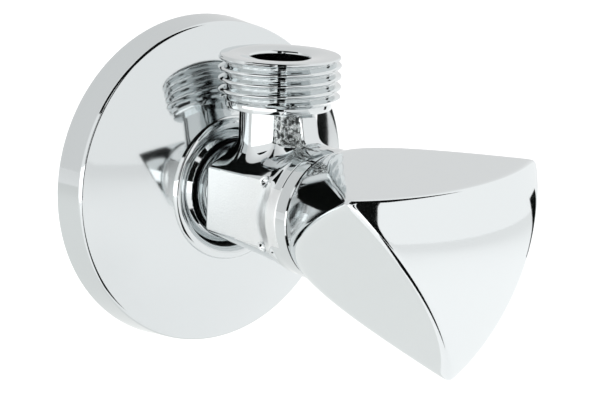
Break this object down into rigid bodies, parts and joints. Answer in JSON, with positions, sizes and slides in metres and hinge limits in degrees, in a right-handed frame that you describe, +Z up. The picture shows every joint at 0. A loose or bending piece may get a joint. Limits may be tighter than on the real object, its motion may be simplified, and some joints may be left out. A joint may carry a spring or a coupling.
{
  "type": "angle stop valve",
  "caption": "Chromed angle stop valve with a threaded wall inlet, an upright threaded outlet, a round wall rosette and a three-lobed turning handle.",
  "frame": {"origin": "on the inlet axis, in the wall plane that the rosette's rim rests on", "axes": "+Y into the wall along the inlet, -Y towards the handle, +Z up along the outlet"},
  "size_m": [0.0564, 0.0925, 0.0564],
  "materials": {
    "plated_brass": "polished chrome plate on cast and turned brass",
    "plated_zinc": "polished chrome plate on die-cast zinc",
    "brass": "turned, bare",
    "stainless": "bright stainless steel",
    "rubber": "black EPDM rubber",
    "white_plastic": "white PTFE",
    "grey_plastic": "moulded acetal"
  },
  "bodies": {
    "valve": {"valve_body": "plated_brass", "inlet_strainer": "stainless", "inlet_seal_ring": "white_plastic", "bonnet": "plated_brass", "bonnet_o_ring": "rubber"},
    "rosette": {"rosette": "plated_brass", "rosette_grip_ring": "rubber"},
    "handle": {"handle_shell": "plated_zinc", "handle_insert": "grey_plastic", "shell_grip_ring": "rubber", "insert_screw": "stainless", "insert_washer": "stainless", "stem": "brass", "stem_o_ring_inner": "rubber", "stem_o_ring_outer": "rubber", "thrust_washer": "white_plastic", "stem_clip": "stainless"},
    "disc": {"disc_holder": "brass", "holder_o_ring": "rubber", "valve_washer": "rubber", "washer_screw": "stainless"}
  },
  "joints": [
    {"name": "handle_turn", "type": "hinge", "parent": "valve", "child": "handle", "pos_m": [0, -0.04, 0], "axis": [0, -1, 0], "range_deg": [0, 1080]},
    {"name": "disc_lift", "type": "slide", "parent": "valve", "child": "disc", "axis": [0, -1, 0], "range_m": [0, 0.0045]},
    {"name": "rosette_slide", "type": "slide", "parent": "valve", "child": "rosette", "axis": [0, -1, 0], "range_m": [0, 0.003]}
  ],
  "couplings": [
    {"joint": "disc_lift", "follows": "handle_turn", "m_per_rad": 0.00023873}
  ]
}
